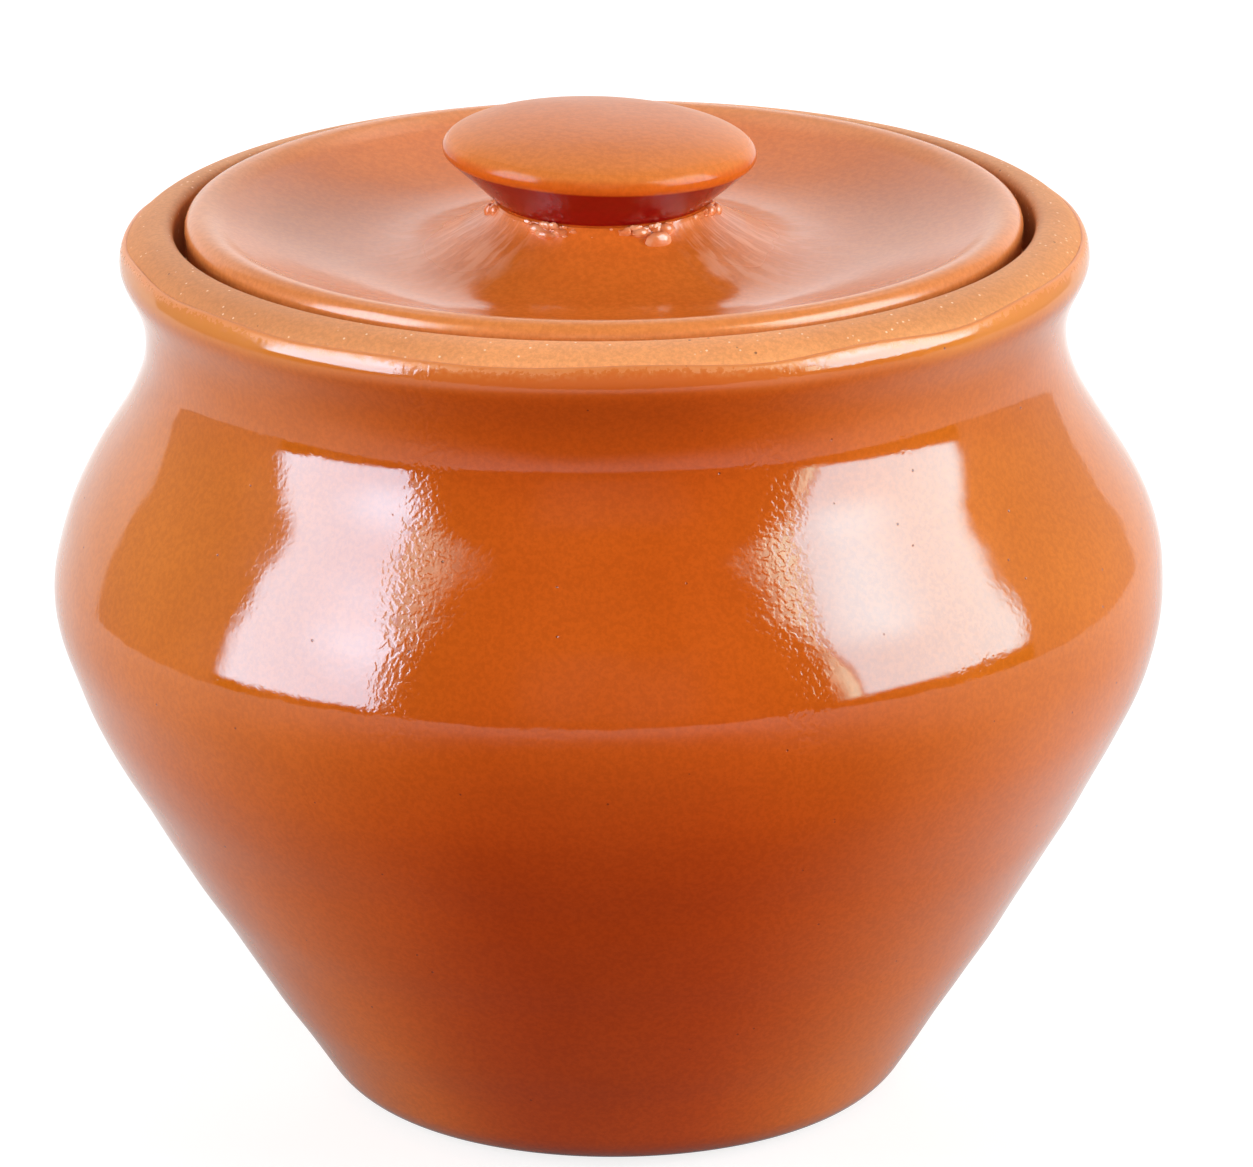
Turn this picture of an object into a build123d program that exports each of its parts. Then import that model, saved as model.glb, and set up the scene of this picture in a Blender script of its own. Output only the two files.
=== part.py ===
from build123d import *
import os
from math import cos, radians, sin

# A small cooking pot of red clay, thrown on a wheel, and its sunk lid, which
# lies on a ledge inside the mouth. Sizes are in millimetres and angles in
# degrees. +Z is up, and the origin is the centre of the ring that the pot
# stands on. Every outline is drawn as (radius, height) and turned about Z.

# Pot, outside, from the ground up. Each rise is from the place before it.
foot_radius = 27.5
wipe_radius = 30.9
wipe_height = 0.65
wipe_lean = 69.0
heel_radius = 35.8
heel_height = 4.6
heel_lean = 33.5
haunch_radius = 62.0
haunch_rise = 42.2
haunch_lean = 28.6
belly_radius = 68.0
belly_rise = 18.0
neck_radius = 56.1
neck_rise = 32.2
rim_radius = 59.0
rim_rise = 9.6
crest_rise = 4.6

# Mouth, with the ledge that carries the lid
rim_thickness = 6.6
mouth_round = 1.1
ledge_depth = 7.7
ledge_width = 6.0
ledge_nose_round = 1.2

# Clay thickness, the floor inside, and the ring and hollow under the foot
neck_wall = 5.0
belly_wall = 5.0
haunch_wall = 5.4
heel_wall = 8.0
floor_thickness = 6.0
floor_radius = 16.0
ring_width = 6.3
hollow_depth = 1.2

# Lid, a saucer with a raised neck in its middle. It rises from the ledge.
lid_play = 1.3
lid_rise = 9.0
lid_edge_round = 2.0
brow_inset = 5.6
brow_drop = 1.3
brow_slope = 19.0
dish_radius = 23.0
dish_depth = 7.5
lid_neck_radius = 13.1
lid_neck_rise = 1.0
lid_neck_lean = 12.0
seat_inset = 0.5
seat_bevel = 0.8
seat_width = 5.6
lid_belly_radius = 26.0
lid_thickness = 4.6

# Knob, a mushroom cap stuck on the lid's neck. Its rises are from that seam.
knob_radius = 19.05
knob_edge_rise = 5.65
knob_brim_inset = 0.45
knob_brim_rise = 4.9
knob_brim_lean = 50.0
knob_rise = 11.35
seam_bevel = 0.4

# Coats of fired glass, and where the outer one ends on the rim's shoulder. Its
# lower end is the line above the foot to which the glaze was wiped off. The
# pot's outside sizes are those of the glass, and the clay lies under it.
glaze_coat = 0.3
glaze_line_inset = 0.35
glaze_line_drop = 2.8
glaze_line_lean = -24.0

# Places that follow from the sizes above
haunch_height = heel_height + haunch_rise
belly_height = haunch_height + belly_rise
neck_height = belly_height + neck_rise
rim_height = neck_height + rim_rise
crest_height = rim_height + crest_rise
glaze_line_height = crest_height - glaze_line_drop
glaze_line_radius = rim_radius - glaze_line_inset
throat_radius = rim_radius - rim_thickness
ledge_radius = throat_radius - ledge_width
ledge_height = crest_height - ledge_depth
lid_radius = throat_radius - lid_play
lid_crest_height = ledge_height + lid_rise
lid_neck_height = lid_crest_height + lid_neck_rise

# How far a stretch keeps the direction of each end, as shares of its chord
even_shares = (0.35, 0.35)
belly_shares = (0.30, 0.29)
shoulder_shares = (0.44, 0.32)
flare_shares = (0.52, 0.20)
dish_shares = (0.30, 0.40)
trumpet_shares = (0.40, 0.20)
dome_shares = (0.085, 0.50)

upright = 0.0
outward = 90.0
inward = -90.0
downward = 180.0


def station(radius, height, lean, depth=0):
    """Point of an outline and its direction there, moved in from the outside by a depth."""
    course = Vector(sin(radians(lean)), cos(radians(lean)))
    inside = Vector(-course.Y, course.X)
    return Vector(radius, height) + inside * depth, course


def stretch(start, end, shares=even_shares):
    """Smooth curve between two stations, which leaves and meets them in their directions."""
    first, first_course = start
    last, last_course = end
    chord = (last - first).length
    first_pull = first + first_course * chord * shares[0]
    last_pull = last - last_course * chord * shares[1]
    return Bezier(first, first_pull, last_pull, last)


def turned(edges):
    """Solid that a closed outline sweeps round the Z axis."""
    return revolve(Plane.XZ * make_face(edges), Axis.Z)


def outer_wall(depth=0):
    """Outside of the pot from the wipe line to the glaze line, or its like at a depth."""
    wipe_line = station(wipe_radius, wipe_height, wipe_lean, depth)
    heel = station(heel_radius, heel_height, heel_lean, depth)
    haunch = station(haunch_radius, haunch_height, haunch_lean, depth)
    belly = station(belly_radius, belly_height, upright, depth)
    neck = station(neck_radius, neck_height, upright, depth)
    rim = station(rim_radius, rim_height, upright, depth)
    glaze_line = station(glaze_line_radius, glaze_line_height, glaze_line_lean, depth)
    return [
        stretch(wipe_line, heel),
        stretch(heel, haunch),
        stretch(haunch, belly, belly_shares),
        stretch(belly, neck, shoulder_shares),
        stretch(neck, rim, flare_shares),
        stretch(rim, glaze_line),
    ]


def inner_wall(coat=0):
    """Inside of the pot from the floor's middle to the ledge's nose, or its like on a coat."""
    middle = (0, floor_thickness + coat)
    floor = station(floor_radius, floor_thickness, outward, coat)
    heel = station(heel_radius, heel_height, heel_lean, heel_wall + coat)
    haunch = station(haunch_radius, haunch_height, haunch_lean, haunch_wall + coat)
    belly = station(belly_radius, belly_height, upright, belly_wall + coat)
    neck = station(neck_radius, neck_height, upright, neck_wall + coat)
    nose = station(ledge_radius, ledge_height - ledge_nose_round, upright, coat)
    return [
        Line(middle, floor[0]),
        stretch(floor, heel),
        stretch(heel, haunch),
        stretch(haunch, belly, belly_shares),
        stretch(belly, neck, shoulder_shares),
        stretch(neck, nose),
    ]


def mouth():
    """Bare rim and ledge, from the glaze line over the crest to the ledge's nose."""
    glaze_line = station(glaze_line_radius, glaze_line_height, glaze_line_lean, glaze_coat)
    crest = station(throat_radius + mouth_round, crest_height, inward)
    edge = (throat_radius, crest_height - mouth_round)
    ledge_root = (throat_radius, ledge_height)
    nose_top = (ledge_radius + ledge_nose_round, ledge_height)
    nose = (ledge_radius, ledge_height - ledge_nose_round)
    return [
        stretch(glaze_line, crest),
        RadiusArc(crest[0], edge, -mouth_round),
        Line(edge, ledge_root),
        Line(ledge_root, nose_top),
        RadiusArc(nose_top, nose, -ledge_nose_round),
    ]


def foot():
    """Underside, from the wipe line over the standing ring to the hollow's middle."""
    wipe_line = station(wipe_radius, wipe_height, wipe_lean, glaze_coat)
    ring = station(foot_radius, 0, outward)
    ring_inside = (foot_radius - ring_width, 0)
    hollow_corner = (foot_radius - ring_width - hollow_depth, hollow_depth)
    hollow_middle = (0, hollow_depth)
    return [
        stretch(ring, wipe_line),
        Line(ring[0], ring_inside),
        Line(ring_inside, hollow_corner),
        Line(hollow_corner, hollow_middle),
    ]


def pot_body():
    """Thrown pot: foot, wall, neck, rim and ledge in one piece of clay."""
    axis = Line((0, hollow_depth), (0, floor_thickness))
    return turned(foot() + outer_wall(glaze_coat) + mouth() + inner_wall() + [axis])


def coat_between(clay, glass):
    """Skin between a wall's clay and the face of the glass on it."""
    foot_end = Line(clay[0] @ 0, glass[0] @ 0)
    top_end = Line(clay[-1] @ 1, glass[-1] @ 1)
    return turned(clay + glass + [foot_end, top_end])


def outer_glaze():
    """Glass on the outside, from the wipe line above the foot to the glaze line."""
    return coat_between(outer_wall(glaze_coat), outer_wall())


def inner_glaze():
    """Glass in the inside, from the floor to the ledge's nose."""
    return coat_between(inner_wall(), inner_wall(glaze_coat))


def lid_top():
    """Top of the lid from its widest ring over the crest and dish to the neck's seam."""
    edge = (lid_radius, lid_crest_height - lid_edge_round)
    crest = station(lid_radius - lid_edge_round, lid_crest_height, inward)
    brow = station(lid_radius - brow_inset, lid_crest_height - brow_drop, inward - brow_slope)
    dish = station(dish_radius, lid_crest_height - dish_depth, inward)
    seam = station(lid_neck_radius, lid_neck_height, -lid_neck_lean)
    return [
        RadiusArc(edge, crest[0], -lid_edge_round),
        stretch(crest, brow),
        stretch(brow, dish, dish_shares),
        stretch(dish, seam, trumpet_shares),
    ]


def lid_underside():
    """Rest of the lid's outline: neck top, middle, convex belly, flat seat and side."""
    underside = lid_crest_height - dish_depth - lid_thickness
    seat_radius = lid_radius - seat_inset
    belly = station(lid_belly_radius, underside, inward)
    seat_inside = station(seat_radius - seat_width, ledge_height, inward)
    seat_outside = (seat_radius - seat_bevel, ledge_height)
    seat_side = station(seat_radius, ledge_height + seat_bevel, upright)
    edge = station(lid_radius, lid_crest_height - lid_edge_round, upright)
    return [
        Line((lid_neck_radius, lid_neck_height), (0, lid_neck_height)),
        Line((0, lid_neck_height), (0, underside)),
        Line((0, underside), belly[0]),
        stretch(seat_inside, belly),
        Line(seat_inside[0], seat_outside),
        Line(seat_outside, seat_side[0]),
        stretch(seat_side, edge),
    ]


def lid_dish():
    """Saucer of the lid, with the seat that lies on the ledge and the neck for the knob."""
    return turned(lid_top() + lid_underside())


def lid_knob():
    """Solid mushroom knob that stands on the neck of the lid."""
    middle = (0, lid_neck_height)
    seam = (lid_neck_radius - seam_bevel, lid_neck_height)
    bevel = (lid_neck_radius, lid_neck_height + seam_bevel)
    brim_radius = knob_radius - knob_brim_inset
    brim = station(brim_radius, lid_neck_height + knob_brim_rise, knob_brim_lean)
    edge = station(knob_radius, lid_neck_height + knob_edge_rise, upright)
    top = station(0, lid_neck_height + knob_rise, inward)
    return turned(
        [
            Line(middle, seam),
            Line(seam, bevel),
            Line(bevel, brim[0]),
            stretch(brim, edge),
            stretch(edge, top, dome_shares),
            Line(top[0], middle),
        ]
    )


def main():
    """Writes each piece to its own file."""
    os.makedirs("parts", exist_ok=True)
    pieces = {
        "pot_body": pot_body(),
        "outer_glaze": outer_glaze(),
        "inner_glaze": inner_glaze(),
        "lid_dish": lid_dish(),
        "lid_knob": lid_knob(),
    }
    for node, solid in pieces.items():
        export_step(solid, f"parts/{node}.step")


main()
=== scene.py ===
from math import cos, pi, radians, sin, tan

import bmesh
import bpy
import numpy as np
from mathutils import Matrix, Vector


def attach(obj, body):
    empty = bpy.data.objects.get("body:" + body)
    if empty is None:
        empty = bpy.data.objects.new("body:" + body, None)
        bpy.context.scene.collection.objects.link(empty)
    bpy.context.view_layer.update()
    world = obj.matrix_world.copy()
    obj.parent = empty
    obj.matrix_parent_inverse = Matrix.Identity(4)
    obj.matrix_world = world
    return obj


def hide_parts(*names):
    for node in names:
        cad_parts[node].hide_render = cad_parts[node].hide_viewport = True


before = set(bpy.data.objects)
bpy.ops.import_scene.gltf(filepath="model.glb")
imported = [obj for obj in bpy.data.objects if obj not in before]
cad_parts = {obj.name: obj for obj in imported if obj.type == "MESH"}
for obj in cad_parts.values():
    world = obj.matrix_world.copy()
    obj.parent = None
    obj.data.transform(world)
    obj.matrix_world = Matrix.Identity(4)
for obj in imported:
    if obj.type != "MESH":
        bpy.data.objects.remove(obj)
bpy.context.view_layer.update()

# A small cooking pot of red clay with a sunk lid. The pot and the lid's edge,
# seat and underside are turned from the same stations as the solids. The lid's
# dish is flatter here and has a knee under the neck, and the knob's brim and
# dome are a little different, as the photograph shows them. All is drawn in
# millimetres and scaled to metres as the meshes are made.
metre = 0.001
draws = np.random.default_rng(7)

# Pot, outside. Each rise is from the place before it.
foot_radius = 27.5
wipe_radius = 30.9
wipe_height = 0.65
wipe_lean = 69.0
heel_radius = 35.8
heel_height = 4.6
heel_lean = 33.5
haunch_radius = 62.0
haunch_rise = 42.2
haunch_lean = 28.6
belly_radius = 68.0
belly_rise = 18.0
neck_radius = 56.1
neck_rise = 32.2
rim_radius = 59.0
rim_rise = 9.6
crest_rise = 4.6

# Mouth, wall thicknesses and foot
rim_thickness = 6.6
mouth_round = 1.1
ledge_depth = 7.7
ledge_width = 6.0
ledge_nose_round = 1.2
neck_wall = 5.0
belly_wall = 5.0
haunch_wall = 5.4
heel_wall = 8.0
floor_thickness = 6.0
floor_radius = 16.0
ring_width = 6.3
hollow_depth = 1.2

# Lid. Its dish is a drop from its crest, and the knee one from the knob's seam.
lid_play = 1.3
lid_rise = 9.0
lid_edge_round = 2.0
brow_inset = 5.6
brow_drop = 1.3
brow_slope = 19.0
dish_radius = 28.0
dish_depth = 5.45
lid_neck_radius = 13.1
lid_neck_rise = 1.0
lid_neck_lean = 25.0
knee_radius = 17.7
knee_drop = 3.65
knee_lean = 57.5
underside_drop = 12.1
seat_inset = 0.5
seat_bevel = 0.8
seat_width = 5.6
lid_belly_radius = 26.0

# Knob, with rises from its seam
knob_radius = 19.05
knob_edge_rise = 6.15
knob_brim_inset = 0.45
knob_brim_rise = 5.25
knob_brim_lean = 50.0
knob_rise = 10.75
seam_bevel = 0.4

# Coats of glass, which sink a little into the clay so that no light gets between.
# The outer one reaches past the solids' glaze line and ends in a rounded bead. The
# inside mark is a depth under the line at which the glass is even.
glaze_coat = 0.3
glaze_line_inset = 0.35
glaze_line_drop = 2.8
glaze_line_lean = -24.0
glaze_sink = 0.06
glaze_reach = 1.3
glaze_line_wander = 0.22
glaze_bead = 0.5
bead_run = 4.0
bead_rows = 26
bead_crowding = 1.8
bead_start = 0.02
bead_swell = 0.12
bead_swell_width = 1.3
bead_swell_place = 0.8
inside_mark = 9.0

# Places that follow
haunch_height = heel_height + haunch_rise
belly_height = haunch_height + belly_rise
neck_height = belly_height + neck_rise
rim_height = neck_height + rim_rise
crest_height = rim_height + crest_rise
glaze_line_height = crest_height - glaze_line_drop
glaze_line_radius = rim_radius - glaze_line_inset
throat_radius = rim_radius - rim_thickness
ledge_radius = throat_radius - ledge_width
ledge_height = crest_height - ledge_depth
lid_radius = throat_radius - lid_play
lid_crest_height = ledge_height + lid_rise
lid_neck_height = lid_crest_height + lid_neck_rise

even_shares = (0.35, 0.35)
belly_shares = (0.30, 0.29)
shoulder_shares = (0.44, 0.32)
flare_shares = (0.52, 0.20)
dish_shares = (0.32, 0.33)
cone_shares = (0.30, 0.43)
neck_shares = (0.32, 0.375)
dome_shares = (0.162, 0.50)
round_shares = (0.39, 0.39)

upright = 0.0
outward = 90.0
inward = -90.0
downward = 180.0

# Handmade shape: how far the real pot is from a true turned one. The foot stays
# true inside the first of two radii, and the ripples fade in and out over heights.
pot_lean = 0.7
pot_oval = 0.15
pot_oval_phase = 0.6
pot_ripple = 0.10
true_radii = (20.0, 34.0)
ripple_start = (4.0, 14.0)
ripple_end = (92.0, 100.0)
ripple_count = 8
least_wave = 0.4
shortest_ripple = 7.0
longest_ripple = 26.0
lid_tilt = 0.29
knob_tilt = 2.08
knob_nod = 1.03
knob_shift = -0.45
knob_free_rise = 3.0
knob_uneven = 0.12
knob_uneven_phase = 1.0
knob_uneven_radii = (8.0, 16.0)

# Slip. A crumb's size is a share of its group's largest, and its depth, width and
# height are shares of that size. What a lump is given is in millimetres.
crumb_size_shares = (0.35, 1.0)
crumb_size_power = 1.5
crumb_drop_power = 2
crumb_lumpiness = 0.132
crumb_depth_share = 0.6
crumb_width_shares = (0.9, 1.7)
crumb_height_shares = (0.5, 0.9)
lowest_crumb = 1.1
lump_depth = 0.75
lump_inset = 0.1
lump_unevenness = 0.07

# Crumbs under the knob: middle angle and spread in degrees, count and largest size
crumb_groups = [
    (-122, 8, 22, 0.62),
    (-62, 7, 20, 0.62),
    (-90, 16, 6, 0.26),
    (178, 11, 22, 0.60),
    (-8, 14, 22, 0.55),
    (90, 60, 20, 0.45),
]

# Smooth lumps of slip: angle in degrees, half width, half height and drop from the seam
slip_lumps = [
    (-63, 1.9, 1.35, 1.75),
    (-71, 1.2, 0.7, 0.7),
    (-56, 1.2, 0.8, 0.7),
    (-128, 1.3, 0.7, 0.7),
    (-121, 1.5, 0.6, 1.1),
    (-113, 0.9, 0.5, 0.7),
    (-170, 1.0, 0.8, 0.7),
    (-178, 0.9, 1.0, 1.3),
    (-14, 1.1, 0.8, 0.6),
    (-5, 0.9, 0.9, 1.1),
]

# Streaks down the pot where the glaze is most rippled: angle, half width and strength
peel_streaks = [
    (-112, 6, 0.9),
    (-137, 4, 0.4),
    (-70, 5, 0.9),
    (-50, 5, 0.5),
    (60, 12, 0.7),
    (150, 10, 0.7),
]

# Corners round the axis, fewest rings of a run, and lengths between rings
around = 384
fewest_on_curve = 6
fewest_on_line = 2
coarse_step = 1.1
middle_step = 0.7
close_step = 0.5
fine_step = 0.35
bead_step = 0.3
round_step = 0.2
bevel_step = 0.15
smooth_angle = 38.0


# Outlines
def station(radius, height, lean, depth=0.0):
    """Point of an outline and its direction there, moved in from the outside by a depth."""
    course = np.array([sin(radians(lean)), cos(radians(lean))])
    inside = np.array([-course[1], course[0]])
    return np.array([radius, height]) + inside * depth, course


def stretch(start, end, shares=even_shares, step=coarse_step):
    """Points of the smooth curve between two stations, without its last one."""
    first, first_course = start
    last, last_course = end
    chord = np.linalg.norm(last - first)
    first_pull = first + first_course * chord * shares[0]
    last_pull = last - last_course * chord * shares[1]
    t = np.linspace(0.0, 1.0, max(fewest_on_curve, int(chord / step)), endpoint=False)[:, None]
    return (
        first * (1 - t) ** 3
        + 3 * first_pull * t * (1 - t) ** 2
        + 3 * last_pull * t**2 * (1 - t)
        + last * t**3
    )


def straight(start, end, step=coarse_step):
    """Points of a straight run, without its last one."""
    start, end = np.array(start, float), np.array(end, float)
    count = max(fewest_on_line, int(np.linalg.norm(end - start) / step))
    t = np.linspace(0.0, 1.0, count, endpoint=False)[:, None]
    return start * (1 - t) + end * t


def outer_wall(depth=0.0):
    """Outside of the pot from the wipe line to the glaze line, or its like at a depth."""
    wipe_line = station(wipe_radius, wipe_height, wipe_lean, depth)
    heel = station(heel_radius, heel_height, heel_lean, depth)
    haunch = station(haunch_radius, haunch_height, haunch_lean, depth)
    belly = station(belly_radius, belly_height, upright, depth)
    neck = station(neck_radius, neck_height, upright, depth)
    rim = station(rim_radius, rim_height, upright, depth)
    line = station(glaze_line_radius, glaze_line_height, glaze_line_lean, depth)
    return np.vstack(
        [
            stretch(wipe_line, heel, even_shares, fine_step),
            stretch(heel, haunch),
            stretch(haunch, belly, belly_shares),
            stretch(belly, neck, shoulder_shares, middle_step),
            stretch(neck, rim, flare_shares, close_step),
            stretch(rim, line, even_shares, fine_step),
        ]
    )


def rim_top():
    """Bare shoulder of the rim from the glaze line to the crest, at the clay."""
    line = station(glaze_line_radius, glaze_line_height, glaze_line_lean, glaze_coat)
    crest = station(throat_radius + mouth_round, crest_height, inward)
    return stretch(line, crest, even_shares, fine_step)


def mouth():
    """Round of the throat, the throat, the ledge and its nose."""
    crest = station(throat_radius + mouth_round, crest_height, inward)
    edge = station(throat_radius, crest_height - mouth_round, downward)
    root = (throat_radius, ledge_height)
    nose_top = station(ledge_radius + ledge_nose_round, ledge_height, inward)
    nose = station(ledge_radius, ledge_height - ledge_nose_round, downward)
    return np.vstack(
        [
            stretch(crest, edge, round_shares, round_step),
            straight(edge[0], root),
            straight(root, nose_top[0]),
            stretch(nose_top, nose, round_shares, round_step),
        ]
    )


def inner_wall(coat=0.0):
    """Inside of the pot from the floor's middle to the ledge's nose, or its like on a coat."""
    floor = station(floor_radius, floor_thickness, outward, coat)
    heel = station(heel_radius, heel_height, heel_lean, heel_wall + coat)
    haunch = station(haunch_radius, haunch_height, haunch_lean, haunch_wall + coat)
    belly = station(belly_radius, belly_height, upright, belly_wall + coat)
    neck = station(neck_radius, neck_height, upright, neck_wall + coat)
    nose = station(ledge_radius, ledge_height - ledge_nose_round, upright, coat)
    return np.vstack(
        [
            straight((0, floor_thickness + coat), floor[0]),
            stretch(floor, heel),
            stretch(heel, haunch),
            stretch(haunch, belly, belly_shares),
            stretch(belly, neck, shoulder_shares),
            stretch(neck, nose),
            nose[0][None, :],
        ]
    )


def underfoot():
    """Underside from the hollow's middle over the standing ring to the wipe line."""
    ring = station(foot_radius, 0, outward)
    wipe_line = station(wipe_radius, wipe_height, wipe_lean, glaze_coat)
    ring_inside = (foot_radius - ring_width, 0)
    corner = (foot_radius - ring_width - hollow_depth, hollow_depth)
    return np.vstack(
        [
            straight((0, hollow_depth), corner),
            straight(corner, ring_inside, fine_step),
            straight(ring_inside, ring[0]),
            stretch(ring, wipe_line, even_shares, fine_step),
        ]
    )


def lid_outline():
    """Lid from the middle of its underside over its edge and dish to the knob's seam."""
    underside = lid_crest_height - underside_drop
    seat_radius = lid_radius - seat_inset
    belly = station(lid_belly_radius, underside, outward)
    seat_inside = station(seat_radius - seat_width, ledge_height, outward)
    seat_outside = (seat_radius - seat_bevel, ledge_height)
    seat_side = station(seat_radius, ledge_height + seat_bevel, upright)
    edge = station(lid_radius, lid_crest_height - lid_edge_round, upright)
    crest = station(lid_radius - lid_edge_round, lid_crest_height, inward)
    brow = station(lid_radius - brow_inset, lid_crest_height - brow_drop, inward - brow_slope)
    dish = station(dish_radius, lid_crest_height - dish_depth, inward)
    knee = station(knee_radius, lid_neck_height - knee_drop, -knee_lean)
    seam = station(lid_neck_radius, lid_neck_height, -lid_neck_lean)
    return np.vstack(
        [
            straight((0, underside), belly[0]),
            stretch(belly, seat_inside),
            straight(seat_inside[0], seat_outside),
            straight(seat_outside, seat_side[0], fine_step),
            stretch(seat_side, edge, even_shares, close_step),
            stretch(edge, crest, round_shares, bead_step),
            stretch(crest, brow, even_shares, fine_step),
            stretch(brow, dish, dish_shares, middle_step),
            stretch(dish, knee, cone_shares, close_step),
            stretch(knee, seam, neck_shares, bead_step),
            straight(seam[0], (0, lid_neck_height)),
            np.array([[0, lid_neck_height]]),
        ]
    )


def knob_outline():
    """Knob from the middle of its seam round its brim to its top."""
    seam = (lid_neck_radius - seam_bevel, lid_neck_height)
    bevel = (lid_neck_radius, lid_neck_height + seam_bevel)
    brim_radius = knob_radius - knob_brim_inset
    brim = station(brim_radius, lid_neck_height + knob_brim_rise, knob_brim_lean)
    edge = station(knob_radius, lid_neck_height + knob_edge_rise, upright)
    top = station(0, lid_neck_height + knob_rise, inward)
    return np.vstack(
        [
            straight((0, lid_neck_height), seam),
            straight(seam, bevel, bevel_step),
            straight(bevel, brim[0], fine_step),
            stretch(brim, edge, even_shares, bevel_step),
            stretch(edge, top, dome_shares, fine_step),
            top[0][None, :],
        ]
    )


# Handmade shape
def smooth(value, low, high):
    """Soft step from 0 at low to 1 at high."""
    t = np.clip((value - low) / (high - low), 0.0, 1.0)
    return t * t * (3 - 2 * t)


def harmonics(count, lowest, highest):
    """Random waves round the pot: how many turns each has, its size and its phase."""
    turns = draws.integers(lowest, highest + 1, count)
    sizes = draws.uniform(least_wave, 1.0, count)
    return turns, sizes / np.sqrt((sizes**2).sum() / 2), draws.uniform(0, 2 * pi, count)


def wave(theta, waves):
    """Sum of the random waves at an angle."""
    turns, sizes, phases = waves
    return (sizes * np.cos(np.multiply.outer(theta, turns) + phases)).sum(axis=-1)


line_waves = harmonics(count=9, lowest=2, highest=16)
ring_lengths = draws.uniform(shortest_ripple, longest_ripple, ripple_count)
ring_turns = draws.integers(-1, 2, ripple_count)
ring_phases = draws.uniform(0, 2 * pi, ripple_count)


def thrown(points):
    """Pot shape as it left the wheel: ripples of throwing, a little oval, leaning a little."""
    x, y, z = points[..., 0], points[..., 1], points[..., 2]
    theta = np.arctan2(y, x)
    radius = np.hypot(x, y)
    ripple = np.zeros_like(z)
    for length, turns, phase in zip(ring_lengths, ring_turns, ring_phases):
        ripple += np.sin(2 * pi * z / length + turns * theta + phase) * length / longest_ripple
    wall = smooth(z, *ripple_start) * (1 - smooth(z, *ripple_end))
    oval = pot_oval * np.cos(2 * theta + pot_oval_phase)
    radius = radius + smooth(radius, *true_radii) * (oval + pot_ripple / 2 * ripple * wall)
    shift = pot_lean * (1 - z / crest_height)
    return np.stack([radius * np.cos(theta) + shift, radius * np.sin(theta), z], axis=-1)


def lid_shape(points):
    """Lid that is a little higher on its left, while its seat stays flat."""
    x, y, z = points[..., 0], points[..., 1], points[..., 2]
    raised = smooth(z, ledge_height, lid_crest_height)
    return np.stack([x, y, z - tan(radians(lid_tilt)) * x * raised], axis=-1)


def knob_shape(points):
    """Knob that was stuck on a little aside and tilted, with its front a little up."""
    x, y, z = points[..., 0], points[..., 1], points[..., 2]
    free = smooth(z, lid_neck_height, lid_neck_height + knob_free_rise)
    outer = smooth(np.hypot(x, y), *knob_uneven_radii)
    uneven = knob_uneven * np.cos(2 * np.arctan2(y, x) + knob_uneven_phase) * outer
    tilt = tan(radians(lid_tilt)) + (tan(radians(knob_tilt)) - tan(radians(lid_tilt))) * free
    grow = 1 + uneven * free / knob_radius
    nod = tan(radians(knob_nod)) * free
    return np.stack([x * grow + knob_shift * free, y * grow, z - tilt * x - nod * y], axis=-1)


# Meshes
def swept(outline):
    """Grid of points that an outline covers as it goes round the axis."""
    theta = np.arange(around) * 2 * pi / around
    radius, height = outline[:, 0][:, None], outline[:, 1][:, None]
    return np.stack(
        [radius * np.cos(theta), radius * np.sin(theta), height + 0 * theta], axis=-1
    )


def ring_faces(rows, wrap):
    """Corner numbers of the faces between neighbouring rings of a grid."""
    i, j = np.meshgrid(np.arange(rows if wrap else rows - 1), np.arange(around), indexing="ij")
    up, on = (i + 1) % rows, (j + 1) % around
    return np.stack(
        [i * around + j, i * around + on, up * around + on, up * around + j], axis=-1
    ).reshape(-1, 4)


def to_object(name, points, faces, body, material, replaced=None, marks=None):
    """Mesh object in metres that rides a body and takes a slot, with a number at each point."""
    mesh = bpy.data.meshes.new(name)
    mesh.from_pydata((points * metre).tolist(), [], faces)
    if marks is not None:
        mesh.attributes.new("mark", "FLOAT", "POINT").data.foreach_set("value", marks)
    mesh.shade_smooth()
    mesh.set_sharp_from_angle(angle=radians(smooth_angle))
    mesh.materials.append(material)
    piece = bpy.data.objects.new(name, mesh)
    bpy.context.scene.collection.objects.link(piece)
    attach(piece, body)
    if replaced:
        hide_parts(replaced)
    return piece


def solid_of(outline, shape):
    """Points and faces of a turned solid whose outline starts and ends on the axis."""
    grid = shape(swept(outline[1:-1]))
    rows = len(outline) - 2
    ends = shape(np.array([[0.0, 0.0, outline[0, 1]], [0.0, 0.0, outline[-1, 1]]]))
    points = np.vstack([grid.reshape(-1, 3), ends])
    faces = ring_faces(rows, False).tolist()
    first, last = rows * around, rows * around + 1
    top = (rows - 1) * around
    for j in range(around):
        on = (j + 1) % around
        faces.append([first, on, j])
        faces.append([last, top + j, top + on])
    return points, faces


def heights_of(outline):
    """Height of each point of a turned solid as it was before it got its handmade shape."""
    return np.concatenate([np.repeat(outline[1:-1, 1], around), outline[[0, -1], 1]])


def run_length(outline):
    """Length along an outline up to each of its points."""
    steps = np.linalg.norm(np.diff(outline, axis=0), axis=1)
    return np.concatenate([[0.0], np.cumsum(steps)])


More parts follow.
